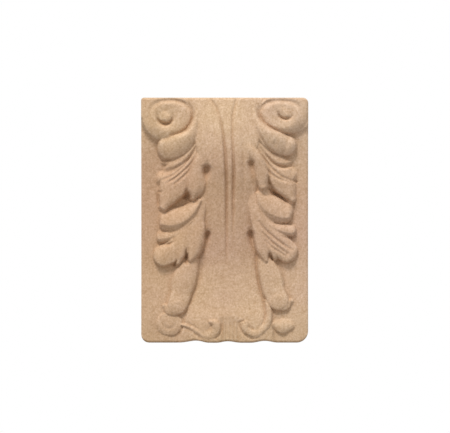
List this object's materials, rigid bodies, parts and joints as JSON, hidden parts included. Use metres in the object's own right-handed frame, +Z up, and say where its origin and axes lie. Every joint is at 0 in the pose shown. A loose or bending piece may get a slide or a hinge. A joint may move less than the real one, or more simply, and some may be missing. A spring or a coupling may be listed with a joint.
{
  "type": "column capital",
  "caption": "Small carved-pattern capital with a flat back, corner volutes, two tiers of acanthus, hanging tongues and a scrolled foot; it heads a pilaster.",
  "frame": {"origin": "centre of the bounding box in X and Y, at the underside of the foot", "axes": "+Z up along the capital's height, +Y out of its flat back, so the carved face looks along -Y"},
  "size_m": [0.06, 0.018, 0.088],
  "materials": {
    "pressed_wood": "bare pressed wood flour, matte, finely speckled tan"
  },
  "bodies": {
    "root": {"capital": "pressed_wood"}
  },
  "joints": []
}
